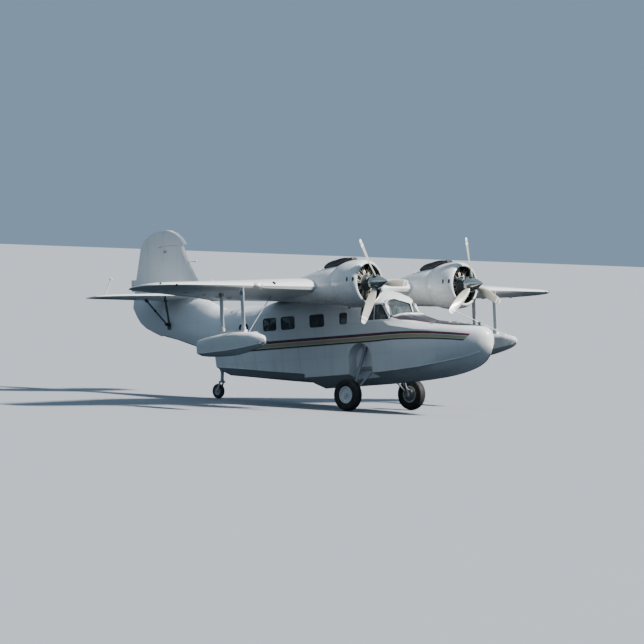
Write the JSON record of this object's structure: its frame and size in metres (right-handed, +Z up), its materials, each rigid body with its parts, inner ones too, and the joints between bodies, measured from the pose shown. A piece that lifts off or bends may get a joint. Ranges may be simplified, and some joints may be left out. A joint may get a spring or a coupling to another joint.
{
  "type": "flying boat",
  "caption": "Twin-engined high-wing amphibious flying boat with wing floats, hollow cabin, opening hatch and door, turning propellers and wheels, moving controls.",
  "frame": {"origin": "on the ground under the middle of the plan box: the tyres stand on z = 0", "axes": "+X forward towards the bow, +Y to port, +Z up; the hull is pitched 6 degrees nose up about Y, as it stands on its tail wheel"},
  "size_m": [11.9168, 14.94, 4.2916],
  "materials": {
    "black_paint": "matte",
    "blade_paint": "satin",
    "dark_paint": "satin",
    "engine_metal": "satin",
    "grey_paint": "satin",
    "seat_cloth": "matte",
    "spinner_metal": "polished",
    "tyre": "matte",
    "white_paint": "satin",
    "window_glass": "gloss"
  },
  "bodies": {
    "hull": {"cabin_roof": "white_paint", "cabin_seats_port": "seat_cloth", "cabin_seats_starboard": "seat_cloth", "cockpit_canopy": "white_paint", "cockpit_seat_port": "white_paint", "cockpit_seat_starboard": "white_paint", "cowl_port": "white_paint", "cowl_starboard": "white_paint", "engine_port": "engine_metal", "engine_starboard": "engine_metal", "fin": "white_paint", "float_port": "white_paint", "float_starboard": "white_paint", "float_stay_port": "grey_paint", "float_stay_starboard": "grey_paint", "float_struts_port": "white_paint", "float_struts_starboard": "white_paint", "hull_bottom": "white_paint", "hull_bow": "white_paint", "instrument_panel": "dark_paint", "main_gear_leg_port": "grey_paint", "main_gear_leg_starboard": "grey_paint", "mooring_bitt": "dark_paint", "nacelle_port": "white_paint", "nacelle_starboard": "white_paint", "scoop_port": "black_paint", "scoop_starboard": "black_paint", "side_wall_port": "white_paint", "side_wall_starboard": "white_paint", "tail_cone": "white_paint", "tail_gear_leg": "grey_paint", "tail_struts_port": "grey_paint", "tail_struts_starboard": "grey_paint", "tailplane_port": "white_paint", "tailplane_starboard": "white_paint", "windshield_glass": "window_glass", "wing_centre": "white_paint", "wing_outer_port": "white_paint", "wing_outer_starboard": "white_paint"},
    "propeller_port": {"propeller_port": "blade_paint", "spinner_port": "spinner_metal"},
    "propeller_starboard": {"propeller_starboard": "blade_paint", "spinner_starboard": "spinner_metal"},
    "wheel_port": {"wheel_rim_port": "white_paint", "tyre_port": "tyre"},
    "wheel_starboard": {"wheel_rim_starboard": "white_paint", "tyre_starboard": "tyre"},
    "tail_swivel": {"tail_wheel_fork": "grey_paint"},
    "tail_wheel": {"tail_wheel": "tyre"},
    "rudder": {"rudder": "white_paint"},
    "elevators": {"elevator_port": "white_paint", "elevator_starboard": "white_paint"},
    "aileron_port": {"aileron_port": "white_paint"},
    "aileron_starboard": {"aileron_starboard": "white_paint"},
    "flap_port": {"flap_port": "white_paint"},
    "flap_starboard": {"flap_starboard": "white_paint"},
    "entry_door": {"entry_door": "white_paint"},
    "bow_hatch": {"bow_hatch": "black_paint"}
  },
  "joints": [
    {"name": "propeller_port_spin", "type": "hinge", "parent": "hull", "child": "propeller_port", "pos_m": [3.8354, 1.8, 3.15086], "axis": [0.9945, 0, 0.1045], "continuous": true},
    {"name": "wheel_port_spin", "type": "hinge", "parent": "hull", "child": "wheel_port", "pos_m": [2.53687, 1.2, 0.39], "axis": [0, 1, 0], "continuous": true},
    {"name": "propeller_starboard_spin", "type": "hinge", "parent": "hull", "child": "propeller_starboard", "pos_m": [3.8354, -1.8, 3.15086], "axis": [0.9945, 0, 0.1045], "continuous": true},
    {"name": "wheel_starboard_spin", "type": "hinge", "parent": "hull", "child": "wheel_starboard", "pos_m": [2.53687, -1.2, 0.39], "axis": [0, 1, 0], "continuous": true},
    {"name": "tail_swivel_turn", "type": "hinge", "parent": "hull", "child": "tail_swivel", "pos_m": [-2.6808, 0, 0.19], "axis": [0, 0, 1], "continuous": true},
    {"name": "tail_wheel_spin", "type": "hinge", "parent": "tail_swivel", "child": "tail_wheel", "pos_m": [-2.7908, 0, 0.19], "axis": [0, 1, 0], "continuous": true},
    {"name": "rudder_turn", "type": "hinge", "parent": "hull", "child": "rudder", "pos_m": [-4.84301, 0, 2.87219], "axis": [-0.1045, 0, 0.9945], "range_deg": [-25, 25]},
    {"name": "elevators_tilt", "type": "hinge", "parent": "hull", "child": "elevators", "pos_m": [-4.87867, 0, 2.44613], "axis": [0, 1, 0], "range_deg": [-20, 25]},
    {"name": "aileron_port_tilt", "type": "hinge", "parent": "hull", "child": "aileron_port", "pos_m": [0.53738, 4.45, 2.74029], "axis": [0.2317, 0.9722, 0.0331], "range_deg": [-20, 20]},
    {"name": "aileron_starboard_tilt", "type": "hinge", "parent": "hull", "child": "aileron_starboard", "pos_m": [0.53738, -4.45, 2.74029], "axis": [-0.2317, 0.9722, -0.0331], "range_deg": [-20, 20]},
    {"name": "flap_port_drop", "type": "hinge", "parent": "hull", "child": "flap_port", "pos_m": [-0.06915, 2.42, 2.55322], "axis": [-0.2491, -0.9671, -0.0515], "range_deg": [0, 60]},
    {"name": "flap_starboard_drop", "type": "hinge", "parent": "hull", "child": "flap_starboard", "pos_m": [-0.06915, -2.42, 2.55322], "axis": [0.2491, -0.9671, 0.0515], "range_deg": [0, 60]},
    {"name": "entry_door_swing", "type": "hinge", "parent": "hull", "child": "entry_door", "pos_m": [-0.74342, 0.752, 1.59371], "axis": [0.1045, 0, -0.9945], "range_deg": [0, 95]},
    {"name": "bow_hatch_lift", "type": "hinge", "parent": "hull", "child": "bow_hatch", "pos_m": [4.78485, 0, 2.24916], "axis": [0, -1, 0], "range_deg": [0, 95]}
  ],
  "couplings": [
    {"joint": "aileron_starboard_tilt", "follows": "aileron_port_tilt", "ratio": -1},
    {"joint": "flap_starboard_drop", "follows": "flap_port_drop", "ratio": 1}
  ]
}
